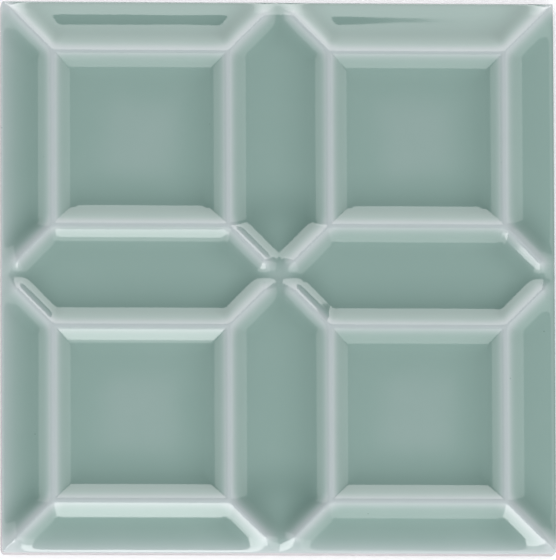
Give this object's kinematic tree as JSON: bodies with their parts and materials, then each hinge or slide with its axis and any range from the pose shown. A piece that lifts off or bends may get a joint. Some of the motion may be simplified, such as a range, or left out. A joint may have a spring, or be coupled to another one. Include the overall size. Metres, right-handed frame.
{
  "type": "decorative relief tile",
  "caption": "Square glazed ceramic wall tile with raised square frames joined by diagonal ridges around recessed glaze pools; flat unglazed back.",
  "frame": {"origin": "centre of the flat back face, on the plane that the tile lies on", "axes": "+Z out of the glazed face, +X to the right and +Y up the face as the picture shows it"},
  "size_m": [0.148, 0.148, 0.012],
  "materials": {
    "glazed_body": "gloss"
  },
  "bodies": {
    "root": {"tile": "glazed_body"}
  },
  "joints": []
}
